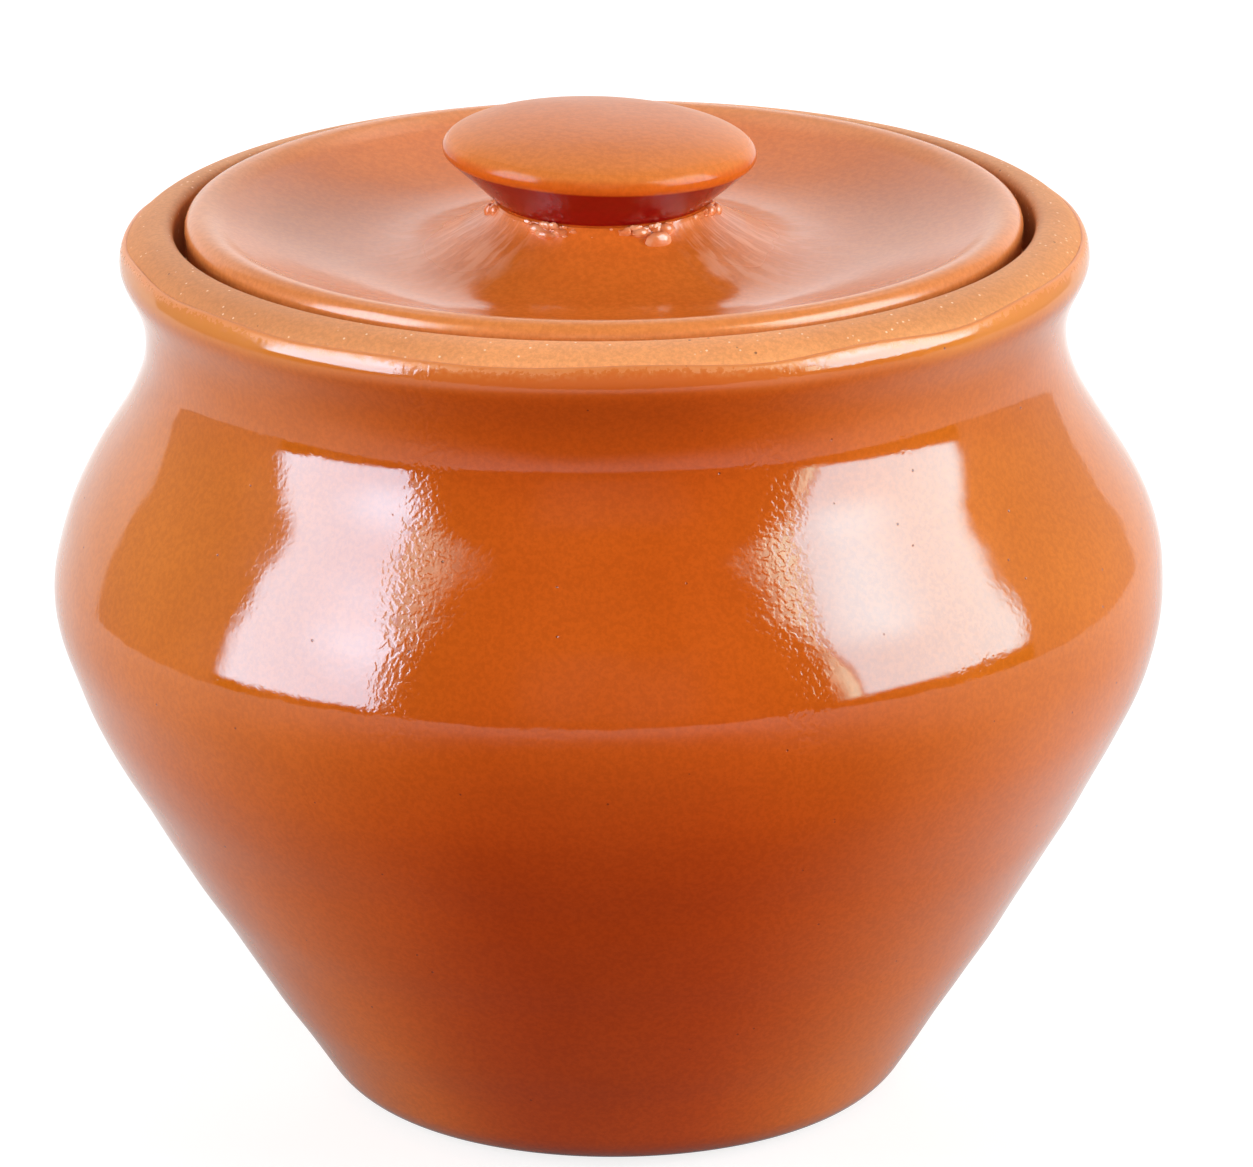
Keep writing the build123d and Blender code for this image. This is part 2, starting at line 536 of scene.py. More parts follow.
def outer_skin(clay, line_at):
    """Shell of glass on the clay, with a rounded bead along its wandering top edge."""
    along = run_length(clay)
    course = np.gradient(clay, along, axis=0)
    course /= np.linalg.norm(course, axis=1)[:, None]
    out = np.stack([course[:, 1], -course[:, 0]], axis=1)
    theta = np.arange(around) * 2 * pi / around
    end = line_at + glaze_line_wander * wave(theta, line_waves)
    body = along[along < line_at - bead_run]
    spread = 1 - (1 - np.linspace(0.0, 1.0, bead_rows)) ** bead_crowding
    grid, marks = [], []
    for side in (1, -1):
        rows = []
        for s in body:
            rows.append(np.full(around, s))
        for u in spread:
            rows.append(body[-1] + (end - body[-1]) * max(u, bead_start))
        if side < 0:
            rows = rows[::-1]
        for s in rows:
            left = np.clip((end - s) / glaze_bead, 0.0, 1.0)
            start = np.clip(s / glaze_bead, 0.0, 1.0)
            bead = np.sqrt(1 - (1 - left) ** 2) * np.sqrt(1 - (1 - start) ** 2)
            past = (end - s) / bead_swell_width - bead_swell_place
            swell = 1 + bead_swell * np.exp(-(past**2))
            depth = glaze_coat * bead * swell if side > 0 else np.full(around, -glaze_sink)
            radius = np.interp(s, along, clay[:, 0]) + depth * np.interp(s, along, out[:, 0])
            height = np.interp(s, along, clay[:, 1]) + depth * np.interp(s, along, out[:, 1])
            grid.append(np.stack([radius * np.cos(theta), radius * np.sin(theta), height], axis=-1))
            marks.append(end - s)
    return np.array(grid), np.array(marks)


# Shader nodes
def add(material, kind, inputs=None, **settings):
    """New node with its settings, its values and its links."""
    node = material.node_tree.nodes.new(kind)
    for key, value in settings.items():
        setattr(node, key, value)
    for socket, value in (inputs or {}).items():
        if isinstance(value, bpy.types.NodeSocket):
            material.node_tree.links.new(value, node.inputs[socket])
        else:
            node.inputs[socket].default_value = value
    return node


def empty_material(name):
    """Material with no nodes in it."""
    material = bpy.data.materials.new(name)
    material.use_nodes = True
    material.node_tree.nodes.clear()
    return material


def noise(material, place, scale, detail, roughness):
    """Noise between about 0.3 and 0.7 at a scale in turns per metre."""
    inputs = {"Vector": place, "Scale": scale, "Detail": detail, "Roughness": roughness}
    return add(material, "ShaderNodeTexNoise", inputs).outputs["Fac"]


def ranged(material, value, low, high, to_low=0.0, to_high=1.0):
    """Value brought from one range to another, with soft ends."""
    inputs = {"Value": value, "From Min": low, "From Max": high, "To Min": to_low, "To Max": to_high}
    node = add(material, "ShaderNodeMapRange", inputs, interpolation_type="SMOOTHSTEP")
    return node.outputs["Result"]


def mottled(material, place, texture, to_low=0.0, to_high=1.0):
    """Noise of a texture that is brought to a range, with its highs and lows cut off."""
    scale, detail, roughness, low, high = texture
    value = noise(material, place, scale, detail, roughness)
    return ranged(material, value, low, high, to_low, to_high)


def blended(material, factor, first, second, mode="MIX"):
    """Colour between two colours."""
    node = add(material, "ShaderNodeMix", data_type="RGBA", blend_type=mode)
    for socket, value in ((0, factor), (6, first), (7, second)):
        if isinstance(value, bpy.types.NodeSocket):
            material.node_tree.links.new(value, node.inputs[socket])
        else:
            node.inputs[socket].default_value = value
    return node.outputs[2]


def bumped(material, height, distance, strength=1.0, under=None):
    """Normal of a surface that a height in metres lifts, over an earlier normal."""
    inputs = {"Height": height, "Distance": distance, "Strength": strength}
    if under is not None:
        inputs["Normal"] = under
    return add(material, "ShaderNodeBump", inputs).outputs["Normal"]


def finish_surface(material, colour, roughness, normal, index, specular=0.5):
    """Principled surface as the material's output."""
    inputs = {"Base Color": colour, "Roughness": roughness, "Normal": normal, "IOR": index}
    inputs["Specular IOR Level"] = specular
    surface = add(material, "ShaderNodeBsdfPrincipled", inputs)
    add(material, "ShaderNodeOutputMaterial", {"Surface": surface.outputs["BSDF"]})
    return material


def maths(material, operation, result, *others):
    """Result of arithmetic on one number, or on several from left to right."""
    for inputs in [{1: other} for other in others] or [{}]:
        inputs = {0: result} | inputs
        result = add(material, "ShaderNodeMath", inputs, operation=operation).outputs[0]
    return result


def total(material, amounts):
    """Sum of one or more amounts."""
    return maths(material, "ADD", *amounts) if len(amounts) > 1 else amounts[0]


def tinted(material, colour, tint, share):
    """Colour with a tint multiplied onto it, over a share of the surface."""
    full = blended(material, 1.0, colour, tint, "MULTIPLY")
    return blended(material, share, colour, full)


def pits(material, place, scale, size, share):
    """Small round spots on a share of the cells of a pattern, 1 in their middle."""
    cells = add(material, "ShaderNodeTexVoronoi", {"Vector": place, "Scale": scale})
    pick = add(material, "ShaderNodeSeparateColor", {"Color": cells.outputs["Color"]})
    chosen = ranged(material, pick.outputs["Red"], 1 - share, 1 - share + pit_pick)
    spot = ranged(material, cells.outputs["Distance"], size * pit_core, size, 1.0, 0.0)
    return maths(material, "MULTIPLY", chosen, spot)


def coordinates(material, place):
    """Sideways, depth and height of a place, its angle round the axis and its radius."""
    parts = add(material, "ShaderNodeSeparateXYZ", {"Vector": place})
    x, y, z = parts.outputs["X"], parts.outputs["Y"], parts.outputs["Z"]
    level = add(material, "ShaderNodeCombineXYZ", {"X": x, "Y": y}).outputs[0]
    radius = add(material, "ShaderNodeVectorMath", {0: level}, operation="LENGTH").outputs["Value"]
    return x, y, z, maths(material, "ARCTAN2", y, x), radius


def side_share(material, place):
    """How far a place is turned to the pot's left or right side, 0 in front and at the back."""
    x, _, _, _, radius = coordinates(material, place)
    share = maths(material, "ABSOLUTE", maths(material, "DIVIDE", x, radius))
    return ranged(material, share, *side_ends)


def round_place(material, place, turns, rings):
    """Place as turns round the axis and rings out from it, for marks left by turning."""
    _, _, _, angle, radius = coordinates(material, place)
    across = maths(material, "MULTIPLY", angle, turns)
    out = maths(material, "MULTIPLY", radius, rings)
    return add(material, "ShaderNodeCombineXYZ", {"X": across, "Y": out}).outputs[0]


# Colours are linear red, green and blue, and a tint is multiplied onto a colour.
# Something fades between the two ends of a band. Bands of the object's own height
# or radius are in metres, and those of a mesh's mark, which is height on the lid and
# depth under the glaze line, in millimetres. A bump is a height in metres and a
# strength. A texture is the scale, detail and roughness of a noise, and the range
# that is kept of it. Pits are the scale of their cells, their size and their share.
side_ends = (0.16, 0.86)
full_tint = (1.0, 1.0, 1.0, 1)
pit_pick = 0.02
pit_core = 0.4
glass_index = 1.5
clay_index = 1.45

glaze_deep = (0.58, 0.094, 0.006, 1)
glaze_light = (0.65, 0.112, 0.009, 1)
glaze_grain_tint = (0.88, 0.85, 0.80, 1)
# Painted shade low down on the glaze: redder and darker in front, a little less dark at the sides.
glaze_low_front_painted_shade = (0.86, 0.56, 0.62, 1)
glaze_low_side_painted_shade = (1.10, 0.86, 0.78, 1)
glaze_foot_tint = (1.12, 1.22, 1.0, 1)
# Painted shade on the glaze's shoulder and neck under the rim.
glaze_neck_painted_shade = (0.95, 0.86, 0.90, 1)
# Painted light and sheen: the glaze's sides are paler and more yellow.
glaze_side_painted_light = (1.03, 1.62, 1.5, 1)
glaze_thick = (0.66, 0.140, 0.024, 1)
glaze_dry = (0.72, 0.225, 0.050, 1)
glaze_pinhole = (0.22, 0.035, 0.006, 1)
# Heights of the painted shade low down, of the lighter foot, and of the painted shade at the
# shoulder and neck.
glaze_painted_shade_low_band = (0.044, 0.080)
glaze_foot_band = (0.0, 0.030)
glaze_painted_shade_neck_band = (0.088, 0.097)
glaze_thick_band = (1.5, 4.0)
glaze_dry_band = (0.0, 1.7)
glaze_swell_bump = (0.00004, 1.0)
glaze_peel_bump = (0.000013, 1.0)
pinhole_bump = (-0.00006, 0.7)
glaze_cloud = (26.0, 3.0, 0.5, 0.36, 0.64)
glaze_grain = (1500.0, 2.0, 0.7, 0.33, 0.67)
glaze_edge_grain = (1300.0, 2.0, 0.6, 0.32, 0.68)
glaze_swell = (240.0, 1.0, 0.4)
glaze_peel = (1500.0, 1.0, 0.4, 0.38, 0.66)
glaze_patches = (60.0, 1.0, 0.5, 0.44, 0.64)
glaze_breath = (90.0, 2.0, 0.5, 0.35, 0.65)
pinholes = (520.0, 0.10, 0.12)
glaze_roughness = (0.055, 0.09)
dry_roughness = 0.30
edge_wander = 0.35
patch_strengths = (0.05, 0.34)

satin_deep = (0.72, 0.158, 0.018, 1)
satin_light = (0.79, 0.187, 0.026, 1)
# Painted shade and sheen: the lid's sides are less red and a little paler.
satin_side_painted_shade_and_sheen = (0.87, 0.96, 1.03, 1)
satin_grain_tint = (0.88, 0.84, 0.80, 1)
# Thin coat on the lid's rolled edge; its sides are painted darker as painted shade.
rolled_front = (0.80, 0.265, 0.067, 1)
rolled_side_painted_shade = (0.72, 0.235, 0.060, 1)
knob_middle = (0.735, 0.213, 0.044, 1)
# Painted shade: the knob's top is darker.
knob_top_painted_shade = (0.66, 0.165, 0.020, 1)
# Painted shade, with a painted reflection of the dark room, along the knob's brim.
knob_brim_painted_shade = (0.66, 0.135, 0.013, 1)
# Painted shade under the knob's brim.
knob_under_painted_shade = (0.29, 0.004, 0.004, 1)
wiped_clay = (0.74, 0.27, 0.12, 1)
rolled_band = (0.0445, 0.0485)
duller_band = (0.028, 0.040)
smear_band = (0.0150, 0.0270)
wiped_band = (0.0150, 0.0320)
wiped_sides = (0.55, 1.0)
seam_band = (113.0, 113.5)
knob_band = (113.6, 113.9)
# Heights on the knob: painted shade under the brim, painted shade along the brim, the duller dome,
# and painted shade on the top.
knob_under_painted_shade_band = (118.55, 118.95)
knob_brim_painted_shade_band = (119.9, 120.9)
dome_band = (120.4, 121.6)
knob_top_painted_shade_band = (121.6, 124.2)
satin_peel_bump = (0.00004, 1.0)
satin_grain_bump = (0.00002, 0.6)
turning_bump = (0.000016, 1.0)
smear_bump = (0.00009, 1.0)
satin_cloud = (34.0, 3.0, 0.5, 0.36, 0.64)
satin_speckle = (1300.0, 3.0, 0.7, 0.35, 0.66)
satin_breath = (60.0, 2.0, 0.5, 0.35, 0.65)
satin_peel = (260.0, 1.0, 0.4)
satin_grain = (900.0, 3.0, 0.6)
turning_marks = (1.6, 1400.0)
turning_noise = (1.0, 1.0, 0.5)
wiping_marks = (13.0, 190.0)
wiping_noise = (1.0, 2.0, 0.6)
wiping_range = (0.46, 0.62)
satin_roughness = (0.09, 0.14)
outer_roughness = 0.08
brim_roughness = 0.20
wiped_roughness = 0.20

# Slip colours: partly the slip's own pale tone and partly painted light on the small crumbs.
slip_deep = (0.70, 0.20, 0.06, 1)
slip_pale_and_painted_light = (0.80, 0.34, 0.17, 1)
slip_bump = (0.00004, 0.8)
slip_cloud = (700.0, 2.0, 0.5, 0.36, 0.64)
slip_grain = (900.0, 2.0, 0.5)
slip_roughness = 0.18

clay_deep = (0.78, 0.268, 0.066, 1)
clay_light = (0.87, 0.316, 0.085, 1)
# Painted shade: the bare clay's sides are darker.
clay_side_painted_shade = (0.78, 0.78, 0.80, 1)
clay_grain_tints = ((0.88, 0.84, 0.80, 1), (1.04, 1.04, 1.04, 1))
clay_pale_grain = (0.90, 0.60, 0.38, 1)
clay_pore = (0.26, 0.07, 0.02, 1)
clay_bump = (0.00004, 0.8)
pore_bump = (-0.00010, 0.7)
clay_cloud = (40.0, 4.0, 0.5, 0.34, 0.66)
clay_speckle = (1700.0, 3.0, 0.75, 0.34, 0.66)
clay_grain = (1300.0, 4.0, 0.7)
pale_grains = (1500.0, 0.30, 0.10)
clay_pores = (900.0, 0.20, 0.05)
clay_roughness = 0.62


def glaze_colour(material, place, height, below):
    """Colour of the gloss glaze by place, height and depth below its upper edge."""
    beside = side_share(material, place)
    cloud = mottled(material, place, glaze_cloud)
    colour = blended(material, cloud, glaze_deep, glaze_light)
    grain = mottled(material, place, glaze_grain)
    tone = blended(material, grain, glaze_grain_tint, full_tint)
    colour = blended(material, 1.0, colour, tone, "MULTIPLY")
    # Painted shade low down: redder and darker, most in front.
    low = ranged(material, height, *glaze_painted_shade_low_band, 1.0, 0.0)
    low_painted_shade_tint = blended(material, beside, glaze_low_front_painted_shade, glaze_low_side_painted_shade)
    colour = tinted(material, colour, low_painted_shade_tint, low)
    foot = ranged(material, height, *glaze_foot_band, 1.0, 0.0)
    colour = tinted(material, colour, glaze_foot_tint, foot)
    # Painted shade on the shoulder and neck under the rim.
    high = ranged(material, height, *glaze_painted_shade_neck_band)
    colour = tinted(material, colour, glaze_neck_painted_shade, high)
    thick = ranged(material, below, *glaze_thick_band, 1.0, 0.0)
    colour = blended(material, thick, colour, glaze_thick)
    # Painted light and sheen: paler, more yellow sides.
    return tinted(material, colour, glaze_side_painted_light, beside)


def peel_share(material, place, angle):
    """How strong the glaze's fine ripple is, in patches and in streaks down the pot."""
    shares = [mottled(material, place, glaze_patches, *patch_strengths)]
    for middle, width, share in peel_streaks:
        apart = maths(material, "SUBTRACT", angle, radians(middle))
        apart = maths(material, "ABSOLUTE", apart)
        shares.append(ranged(material, apart, 0.0, radians(width), share, 0.0))
    return total(material, shares)


def pot_glaze_material():
    """Red clay under clear gloss: rippled, with pinholes, and thin and dry at its upper edge.

    Its colour is painted redder and darker low down, most in front, and darker on the shoulder and
    neck under the rim, as painted shade. It is paler and more yellow at the sides, as painted light
    and sheen.
    """
    material = empty_material("Pot glaze")
    place = add(material, "ShaderNodeTexCoord").outputs["Object"]
    _, _, height, angle, _ = coordinates(material, place)
    below = add(material, "ShaderNodeAttribute", attribute_name="mark").outputs["Fac"]
    colour = glaze_colour(material, place, height, below)
    uneven = mottled(material, place, glaze_edge_grain, -edge_wander, edge_wander)
    dry = ranged(material, total(material, [below, uneven]), *glaze_dry_band, 1.0, 0.0)
    colour = blended(material, dry, colour, glaze_dry)
    holes = pits(material, place, *pinholes)
    colour = blended(material, holes, colour, glaze_pinhole)
    swell = noise(material, place, *glaze_swell)
    normal = bumped(material, swell, *glaze_swell_bump)
    drops = mottled(material, place, glaze_peel)
    raised = maths(material, "MULTIPLY", drops, peel_share(material, place, angle))
    normal = bumped(material, raised, *glaze_peel_bump, normal)
    normal = bumped(material, holes, *pinhole_bump, normal)
    roughness = mottled(material, place, glaze_breath, *glaze_roughness)
    rougher = ranged(material, dry, 0.0, 1.0, 0.0, dry_roughness)
    roughness = total(material, [roughness, rougher])
    return finish_surface(material, colour, roughness, normal, glass_index)


def satin_colour(material, place, beside, radius, height, on_knob):
    """Colour of the satin coat by its place on the lid or the knob."""
    cloud = mottled(material, place, satin_cloud)
    colour = blended(material, cloud, satin_deep, satin_light)
    # Painted shade and sheen on the lid's sides.
    colour = tinted(material, colour, satin_side_painted_shade_and_sheen, beside)
    # Thin coat on the rolled edge, painted darker at the sides as painted shade.
    thin = ranged(material, radius, *rolled_band)
    rolled = blended(material, beside, rolled_front, rolled_side_painted_shade)
    colour = blended(material, thin, colour, rolled)
    colour = blended(material, on_knob, colour, knob_middle)
    # Painted shade on the knob's top.
    top = ranged(material, height, *knob_top_painted_shade_band)
    colour = blended(material, maths(material, "MULTIPLY", top, on_knob), colour, knob_top_painted_shade)
    # Painted shade and a painted dark reflection along the knob's brim, and deep painted shade under
    # the brim.
    for band, shade in ((knob_brim_painted_shade_band, knob_brim_painted_shade), (knob_under_painted_shade_band, knob_under_painted_shade)):
        below = ranged(material, height, *band, 1.0, 0.0)
        colour = blended(material, maths(material, "MULTIPLY", below, on_knob), colour, shade)
    grain = mottled(material, place, satin_speckle)
    tone = blended(material, grain, satin_grain_tint, full_tint)
    return blended(material, 1.0, colour, tone, "MULTIPLY")


def satin_material(name, specular, dullness):
    """Red clay under a thin satin coat, with a dry grain and marks of turning and wiping."""
    material = empty_material(name)
    place = add(material, "ShaderNodeTexCoord").outputs["Object"]
    _, _, _, _, radius = coordinates(material, place)
    beside = side_share(material, place)
    height = add(material, "ShaderNodeAttribute", attribute_name="mark").outputs["Fac"]
    on_knob = ranged(material, height, *knob_band)
    below_seam = ranged(material, height, *seam_band, 1.0, 0.0)
    colour = satin_colour(material, place, beside, radius, height, on_knob)
    normal = bumped(material, noise(material, place, *satin_peel), *satin_peel_bump)
    grain = noise(material, place, *satin_grain)
    normal = bumped(material, grain, *satin_grain_bump, normal)
    turning = noise(material, round_place(material, place, *turning_marks), *turning_noise)
    normal = bumped(material, turning, *turning_bump, normal)
    wiping = noise(material, round_place(material, place, *wiping_marks), *wiping_noise)
    near_neck = ranged(material, radius, *smear_band, 1.0, 0.0)
    smears = maths(material, "MULTIPLY", wiping, near_neck, below_seam)
    normal = bumped(material, smears, *smear_bump, normal)
    wiped = ranged(material, radius, *wiped_band, 1.0, 0.0)
    wiped = maths(material, "MULTIPLY", wiped, below_seam)
    wiped = maths(material, "MULTIPLY", wiped, ranged(material, beside, *wiped_sides))
    streaks = maths(material, "MULTIPLY", ranged(material, wiping, *wiping_range), wiped)
    colour = blended(material, streaks, colour, wiped_clay)
    roughness = mottled(material, place, satin_breath, *satin_roughness)
    outer = ranged(material, radius, *duller_band, 0.0, outer_roughness)
    dome = ranged(material, height, *dome_band, dullness, brim_roughness)
    dome = maths(material, "MULTIPLY", dome, on_knob)
    wiped = ranged(material, wiped, 0.0, 1.0, 0.0, wiped_roughness)
    roughness = total(material, [roughness, outer, dome, wiped])
    return finish_surface(material, colour, roughness, normal, glass_index, specular)


def slip_material():
    """Slip under the satin coat, smooth enough to catch the light, pale partly in its own colour and
    partly as painted light.
    """
    material = empty_material("Slip")
    place = add(material, "ShaderNodeTexCoord").outputs["Object"]
    cloud = mottled(material, place, slip_cloud)
    # Pale slip colour, partly painted light.
    colour = blended(material, cloud, slip_deep, slip_pale_and_painted_light)
    normal = bumped(material, noise(material, place, *slip_grain), *slip_bump)
    return finish_surface(material, colour, slip_roughness, normal, glass_index)


def bare_clay_material():
    """Sandy fired clay: dull, with pale and dark grains and small open pores."""
    material = empty_material("Bare clay")
    place = add(material, "ShaderNodeTexCoord").outputs["Object"]
    cloud = mottled(material, place, clay_cloud)
    colour = blended(material, cloud, clay_deep, clay_light)
    # Painted shade on the bare clay's sides.
    colour = tinted(material, colour, clay_side_painted_shade, side_share(material, place))
    grain = mottled(material, place, clay_speckle)
    tone = blended(material, grain, *clay_grain_tints)
    colour = blended(material, 1.0, colour, tone, "MULTIPLY")
    pale = pits(material, place, *pale_grains)
    colour = blended(material, pale, colour, clay_pale_grain)
    pores = pits(material, place, *clay_pores)
    colour = blended(material, pores, colour, clay_pore)
    normal = bumped(material, noise(material, place, *clay_grain), *clay_bump)
    normal = bumped(material, pores, *pore_bump, normal)
    return finish_surface(material, colour, clay_roughness, normal, clay_index)


pot_glaze = pot_glaze_material()
lid_glaze = satin_material("Lid glaze", specular=0.43, dullness=0.0)
knob_glaze = satin_material("Knob glaze", specular=0.14, dullness=0.04)
slip = slip_material()
bare_clay = bare_clay_material()

# Pieces of the pot
clay_wall = outer_wall(glaze_coat)
pot_clay = np.vstack([underfoot(), clay_wall, rim_top(), mouth(), inner_wall()[::-1]])
points, faces = solid_of(pot_clay, thrown)
to_object("pot_clay", points, faces, "pot", bare_clay, "pot_body")

grid, marks = outer_skin(np.vstack([clay_wall, rim_top()]), run_length(clay_wall)[-1] + glaze_reach)
to_object(
    "glaze_outside",
    thrown(grid).reshape(-1, 3),
    ring_faces(len(grid), True).tolist(),
    "pot",
    pot_glaze,
    "outer_glaze",
    marks.reshape(-1),
)

inside_coat = np.vstack([inner_wall(-glaze_sink), inner_wall(glaze_coat)[::-1]])
points, faces = solid_of(inside_coat, thrown)
marks = np.full(len(points), inside_mark)
to_object("glaze_inside", points, faces, "pot", pot_glaze, "inner_glaze", marks)

# Pieces of the lid
points, faces = solid_of(lid_outline(), lid_shape)
marks = heights_of(lid_outline())
to_object("lid_saucer", points, faces, "lid", lid_glaze, "lid_dish", marks)
points, faces = solid_of(knob_outline(), knob_shape)
marks = heights_of(knob_outline())
to_object("knob", points, faces, "lid", knob_glaze, "lid_knob", marks)


def neck_radius_at(drop):
    """Radius of the lid's neck at a drop from the seam."""
    knee = station(knee_radius, lid_neck_height - knee_drop, -knee_lean)
    seam = station(lid_neck_radius, lid_neck_height, -lid_neck_lean)
    side = stretch(knee, seam, neck_shares, bead_step)
    return np.interp(lid_neck_height - drop, side[:, 1], side[:, 0])


def on_neck(lump, angle, drop, inset=0.0):
    """Lump moved onto the neck's side, at an angle and a drop from the seam."""
    out = lump + np.array([neck_radius_at(drop) - inset, 0.0, lid_neck_height - drop])
    turn = np.array([[cos(angle), -sin(angle), 0], [sin(angle), cos(angle), 0], [0, 0, 1]])
    return out @ turn.T


def slip_crumbs():
    """Slip pressed out under the knob, most of it in front and at both sides."""
    ball = bmesh.new()
    bmesh.ops.create_icosphere(ball, subdivisions=2, radius=1.0)
    ball.verts.ensure_lookup_table()
    unit = np.array([v.co[:] for v in ball.verts])
    corners = [[v.index for v in face.verts] for face in ball.faces]
    ball.free()
    lumps = []
    for middle, spread, count, largest in crumb_groups:
        for angle in np.radians(draws.normal(middle, spread, count)):
            size = largest * draws.uniform(*crumb_size_shares) ** crumb_size_power
            uneven = 1 + crumb_lumpiness * draws.standard_normal((len(unit), 1))
            width, height = draws.uniform(*crumb_width_shares), draws.uniform(*crumb_height_shares)
            lump = unit * uneven * size * np.array([crumb_depth_share, width, height])
            drop = draws.uniform(0.0, 1.0) ** crumb_drop_power * lowest_crumb
            lumps.append(on_neck(lump, angle, drop))
    for angle, half_width, half_height, drop in slip_lumps:
        uneven = draws.uniform(1 - lump_unevenness, 1 + lump_unevenness, (len(unit), 1))
        lump = unit * np.array([lump_depth, half_width, half_height]) * uneven
        lumps.append(on_neck(lump, radians(angle), drop, lump_inset))
    faces = [[k * len(unit) + i for i in face] for k in range(len(lumps)) for face in corners]
    points = lid_shape(np.vstack(lumps))
    return to_object("slip_crumbs", points, faces, "lid", slip)


slip_crumbs()


# Camera, at the photograph's angle
photo_width = 1253
camera_distance = 1.4
camera_elevation = 17.69
camera_roll = -0.5
camera_aim = Vector((0.00236, 0.0, 0.06437))
focal_pixels = 11378.0
sensor = 36.0
farthest_seen = 50.0

back = Vector((0, -cos(radians(camera_elevation)), sin(radians(camera_elevation))))
level = Vector((1, 0, 0))
above = back.cross(level)
right = level * cos(radians(camera_roll)) + above * sin(radians(camera_roll))
upward = above * cos(radians(camera_roll)) - level * sin(radians(camera_roll))
lens = bpy.data.cameras.new("camera")
lens.sensor_width = sensor
lens.lens = focal_pixels * sensor / photo_width
lens.clip_end = farthest_seen
camera = bpy.data.objects.new("camera", lens)
camera.matrix_world = Matrix.Translation(camera_aim + back * camera_distance) @ Matrix(
    (right, upward, back)
).transposed().to_4x4()
bpy.context.scene.collection.objects.link(camera)
bpy.context.scene.camera = camera


# Floor, background and what the glaze reflects
floor_grey = (0.30, 0.30, 0.30, 1)
floor_fade = (0.15, 1.2)
floor_whites = (0.80, 0.97)
floor_half = 12.0
white_light = (1.0, 1.0, 1.0, 1)
panel_distance = 3.0
halo_distance = 3.1
backdrop_distance = 3.2
side_distance = 3.25
dark_distance = 3.4
table_height = 0.0001
object_middle = 0.06


def lit_by_view(material, strength):
    """Factor that is a strength for rays that see the background, and 0 for the rest."""
    rays = add(material, "ShaderNodeLightPath").outputs
    kinds = [rays[f"Is {kind} Ray"] for kind in ("Camera", "Glossy", "Transmission")]
    return maths(material, "MULTIPLY", maths(material, "MAXIMUM", *kinds), strength)


def floor_material():
    """White floor that keeps the object's shadow."""
    material = empty_material("Floor")
    grey = add(material, "ShaderNodeBsdfDiffuse", {"Color": floor_grey})
    place = add(material, "ShaderNodeNewGeometry").outputs["Position"]
    away = add(material, "ShaderNodeVectorMath", {0: place}, operation="LENGTH").outputs["Value"]
    whiteness = ranged(material, away, *floor_fade, *floor_whites)
    lift = add(material, "ShaderNodeEmission", {"Strength": lit_by_view(material, whiteness)})
    both = add(material, "ShaderNodeAddShader", {0: grey.outputs[0], 1: lift.outputs[0]})
    add(material, "ShaderNodeOutputMaterial", {"Surface": both.outputs[0]})
    return material


def stage_mesh(name, corners, faces, material, fades=None):
    """Mesh of the surroundings, in metres, with how bright each corner is."""
    mesh = bpy.data.meshes.new(name)
    mesh.from_pydata(corners, [], faces)
    fades = np.ones(len(corners)) if fades is None else fades
    mesh.attributes.new("fade", "FLOAT", "POINT").data.foreach_set("value", fades)
    mesh.materials.append(material)
    item = bpy.data.objects.new(name, mesh)
    bpy.context.scene.collection.objects.link(item)
    return item


def flat(name, x0, x1, y0, y1, z, material):
    """Level rectangle of the surroundings."""
    corners = [(x0, y0, z), (x1, y0, z), (x1, y1, z), (x0, y1, z)]
    return stage_mesh(name, corners, [(0, 1, 2, 3)], material)


def only_reflected(item):
    """Makes a mesh show in the gloss alone."""
    for rays in ("camera", "diffuse", "transmission", "volume_scatter", "shadow"):
        setattr(item, f"visible_{rays}", False)
    return item


def apart_from(material, middle):
    """Distance from a place in the room."""
    place = add(material, "ShaderNodeNewGeometry").outputs["Position"]
    return add(
        material, "ShaderNodeVectorMath", {0: place, 1: middle}, operation="DISTANCE"
    ).outputs["Value"]


def glow_material(name, colour, strength, cores=(), slopes=()):
    """Light with brighter cores and with slopes by height, which fades as its patch says.

    A core is its middle, the two distances from it that it changes between, and the strength
    it adds at each. A slope is two heights and the strength it adds from the second on.
    """
    material = empty_material(name)
    amounts = [strength]
    for middle, near, far, more, rest in cores:
        amounts.append(ranged(material, apart_from(material, middle), near, far, more, rest))
    for low_end, high_end, more in slopes:
        place = add(material, "ShaderNodeNewGeometry").outputs["Position"]
        height = add(material, "ShaderNodeSeparateXYZ", {"Vector": place}).outputs["Z"]
        amounts.append(ranged(material, height, low_end, high_end, 0.0, more))
    fade = add(material, "ShaderNodeAttribute", attribute_name="fade").outputs["Fac"]
    amount = maths(material, "MULTIPLY", total(material, amounts), fade)
    glow = add(material, "ShaderNodeEmission", {"Color": colour, "Strength": amount})
    add(material, "ShaderNodeOutputMaterial", {"Surface": glow.outputs[0]})
    return material


def toward(azimuth, elevation, distance):
    """Place at an azimuth from the camera's side, an elevation and a distance."""
    a, e = radians(azimuth), radians(elevation)
    return (
        distance * cos(e) * sin(a),
        -distance * cos(e) * cos(a),
        object_middle + distance * sin(e),
    )


def rise_over(value, width):
    """Soft step from 0 to 1 over a width, or 1 where there is no width."""
    return 1.0 if width <= 0 else float(smooth(value, 0.0, width))


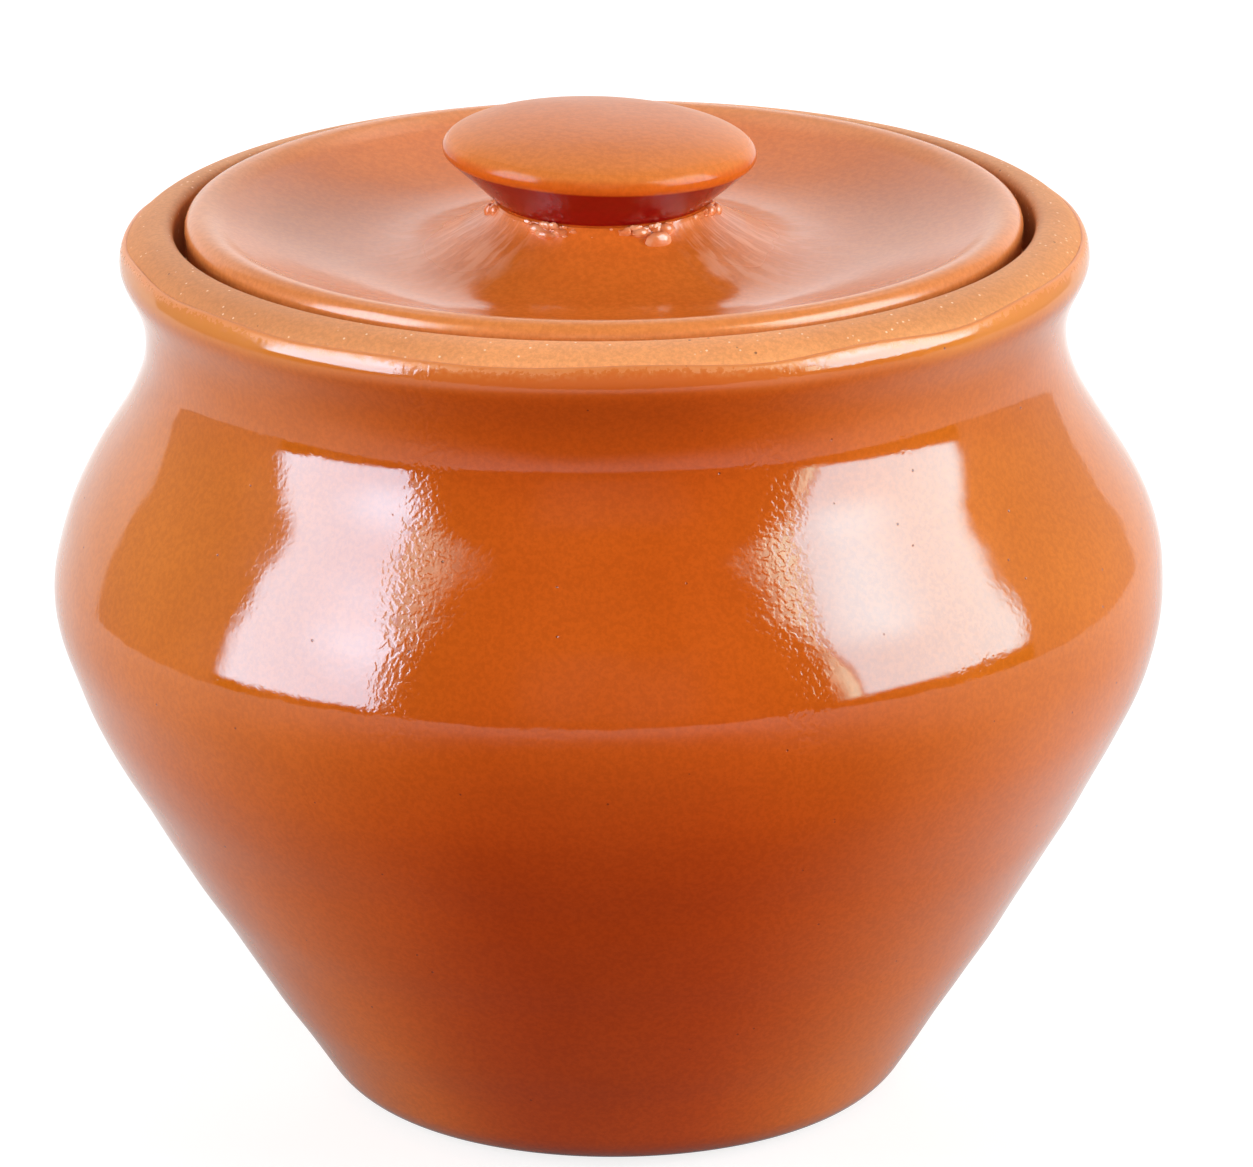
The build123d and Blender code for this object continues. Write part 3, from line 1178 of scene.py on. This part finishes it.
def patch(name, edges, distance, material, softness=(0, 0, 0, 0), cells=48, share=0.0):
    """Part of a sphere between a near and a far azimuth, given at each elevation.

    The softness is how many degrees it fades over at its near, far, low and high edge. The
    share is that of its width which it fades over from its near edge instead.
    """
    corners, faces, fades = [], [], []
    lowest, highest = edges[0][0], edges[-1][0]
    elevations = np.linspace(lowest, highest, cells)
    near = np.interp(elevations, [e[0] for e in edges], [e[1] for e in edges])
    far = np.interp(elevations, [e[0] for e in edges], [e[2] for e in edges])
    for elevation, start, end in zip(elevations, near, far):
        upright_fade = rise_over(elevation - lowest, softness[2])
        upright_fade *= rise_over(highest - elevation, softness[3])
        for azimuth in np.linspace(start, end, cells):
            corners.append(toward(azimuth, elevation, distance))
            near_width = share * abs(end - start) if share else softness[0]
            fade = upright_fade * rise_over(abs(azimuth - start), near_width)
            fades.append(fade * rise_over(abs(end - azimuth), softness[1]))
    for i in range(cells - 1):
        for j in range(cells - 1):
            a = i * cells + j
            faces.append((a, a + 1, a + cells + 1, a + cells))
    return only_reflected(stage_mesh(name, corners, faces, material, fades))


floor = floor_material()
ground = flat("ground", -floor_half, floor_half, -floor_half, floor_half, 0.0, floor)
ground.visible_glossy = False

left_panel = glow_material(
    "Left panel",
    (0.60, 0.95, 1.18, 1),
    13.0,
    [(toward(-55.0, 24.0, panel_distance), 0.0, 0.9, 4.0, 0.0)],
)
right_panel = glow_material(
    "Right panel",
    (0.42, 0.91, 1.04, 1),
    12.5,
    [(toward(62.0, 33.0, panel_distance), 0.0, 0.9, 5.0, 0.0)],
)
left_glow = glow_material("Left halo", (0.68, 1.0, 0.84, 1), 6.8)
right_glow = glow_material("Right halo", (0.70, 1.16, 0.94, 1), 12.6)
left_room = glow_material("Left room", white_light, 0.42)
right_room = glow_material("Right room", white_light, 0.54)
table_front = (0.0, -0.15, 0.0)
table_top = glow_material(
    "Table",
    white_light,
    0.03,
    [
        (table_front, 0.07, 0.26, 0.0, 0.85),
        (table_front, 0.24, 0.48, 0.0, 0.24),
        ((0.10, 0.0, 0.0), 0.0, 0.10, 0.28, 0.0),
        ((-0.09, 0.0, 0.0), 0.0, 0.08, 0.08, 0.0),
    ],
)
white_backdrop = glow_material(
    "Backdrop",
    white_light,
    1.2,
    [
        (toward(153, 52, backdrop_distance), 0.0, 0.65, 1.6, 0.0),
        (toward(-153, 56, backdrop_distance), 0.0, 0.6, 1.2, 0.0),
    ],
    [(0.1, 0.6, 0.18), (1.6, 1.95, -0.45)],
)
dark_room = glow_material("Dark room", white_light, 0.03)

# Edges of the panels and their halos: elevation, near azimuth and far azimuth
left_edges = [
    (-2.5, -47, -87), (25, -46.5, -87), (34, -50, -87), (37, -52, -87),
    (43, -57, -87), (48, -60, -87),
]
right_edges = [
    (0.0, 50.5, 94), (9, 50, 96), (26, 47, 97), (37, 47.5, 98),
    (43, 51.5, 98), (48, 54, 98),
]
left_halo_edges = [
    (-1, -44, -52), (24, -41.5, -53), (34, -40, -56), (37, -36, -58),
    (40, -33, -60), (43, -29, -61), (47, -20, -62),
]
right_halo_edges = [
    (-1, 45, 54), (25, 42.5, 54), (35, 40, 55), (38, 36, 56),
    (43, 31, 57), (47.5, 21, 58),
]
panel_softness = (2.0, 5.0, 2.2, 3.6)
halo_softness = (0, 0, 2, 6.5)
halo_share = 0.75
patch("left_softbox", left_edges, panel_distance, left_panel, panel_softness)
patch("right_softbox", right_edges, panel_distance, right_panel, panel_softness)
patch("left_halo", left_halo_edges, halo_distance, left_glow, halo_softness, share=halo_share)
patch("right_halo", right_halo_edges, halo_distance, right_glow, halo_softness, share=halo_share)
patch("left_side", [(-15, -86, -129), (60, -86, -129)], side_distance, left_room)
patch("right_side", [(-15, 94, 139), (60, 97, 139)], side_distance, right_room)
only_reflected(flat("table", -0.5, 0.5, -0.58, 2.5, table_height, table_top))
patch("backdrop", [(-15, -128, -221), (68, -128, -221)], backdrop_distance, white_backdrop)
patch("dark_room", [(-90, -180, 180), (90, -180, 180)], dark_distance, dark_room, cells=96)


# Light on the object
lamp_distance = 1.2
lamp_size = 0.7
lamp_places = {
    "left_lamp": (-80, 16, 8.8),
    "right_lamp": (80, 16, 12.6),
    "front_lamp": (0, 16, 6.1),
    "back_lamp": (180, 24, 6.4),
    "top_lamp": (180, 74, 2.8),
}
world_light = 0.24


def area_lamp(name, azimuth, elevation, power):
    """Soft lamp that faces the object and doesn't show in its gloss."""
    lamp = bpy.data.lights.new(name, "AREA")
    lamp.shape = "SQUARE"
    lamp.size = lamp_size
    lamp.energy = power
    item = bpy.data.objects.new(name, lamp)
    place = Vector(toward(azimuth, elevation, lamp_distance))
    item.location = place
    away = place - Vector((0, 0, object_middle))
    item.rotation_euler = away.to_track_quat("Z", "Y").to_euler()
    item.visible_glossy = False
    item.visible_camera = False
    bpy.context.scene.collection.objects.link(item)


for name, (azimuth, elevation, power) in lamp_places.items():
    area_lamp(name, azimuth, elevation, power)

world = bpy.data.worlds.new("world")
bpy.context.scene.world = world
world.use_nodes = True
world.node_tree.nodes.clear()
seen = lit_by_view(world, 1.0)
even_light = add(world, "ShaderNodeBackground", {"Color": white_light, "Strength": world_light})
white = add(world, "ShaderNodeBackground", {"Color": white_light, "Strength": 1.0})
both = add(world, "ShaderNodeMixShader", {0: seen, 1: even_light.outputs[0], 2: white.outputs[0]})
add(world, "ShaderNodeOutputWorld", {"Surface": both.outputs[0]})

bpy.context.scene.view_settings.view_transform = "Standard"
